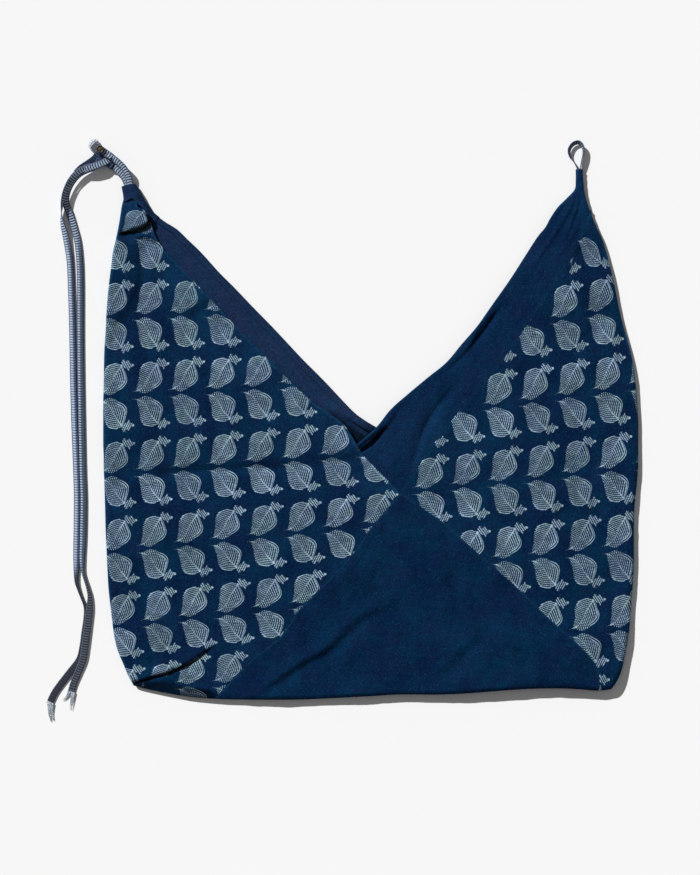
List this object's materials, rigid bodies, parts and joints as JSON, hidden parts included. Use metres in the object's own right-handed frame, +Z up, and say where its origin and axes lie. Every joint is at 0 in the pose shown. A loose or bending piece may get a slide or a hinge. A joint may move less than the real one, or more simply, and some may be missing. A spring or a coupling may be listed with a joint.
{
  "type": "tsuno bag",
  "caption": "Two-horned cloth bag lying flat: block-printed side panels, plain base square and mouth bands, woven tie tapes on one horn, a tape loop on the other.",
  "frame": {"origin": "centre of the bag's bounding box, on the surface it lies on; the tie tapes with their knot and stud are left out of that box", "axes": "+X to the bag's right, +Y towards the horns, +Z up out of the front of the bag"},
  "size_m": [0.6142, 0.5861, 0.013],
  "materials": {
    "indigo_print": "matte plain-woven indigo cotton, block printed with pale leaves",
    "indigo_plain": "matte plain-woven indigo cotton",
    "indigo_band": "matte plain-woven indigo cotton, a little paler",
    "woven_tape": "ladder-woven cotton tape, grey-blue bars on navy",
    "dark_horn": "dark brown, satin"
  },
  "bodies": {
    "root": {"back_band": "indigo_band", "base_panel": "indigo_plain", "front_band": "indigo_band", "hanging_loop": "woven_tape", "knot_bight": "woven_tape", "left_panel": "indigo_print", "left_tie_to_end": "woven_tape", "lower_tie_to_knot": "woven_tape", "right_panel": "indigo_print", "right_tie_to_end": "woven_tape", "stud": "dark_horn", "tie_knot": "woven_tape", "upper_tie_to_knot": "woven_tape"}
  },
  "joints": []
}
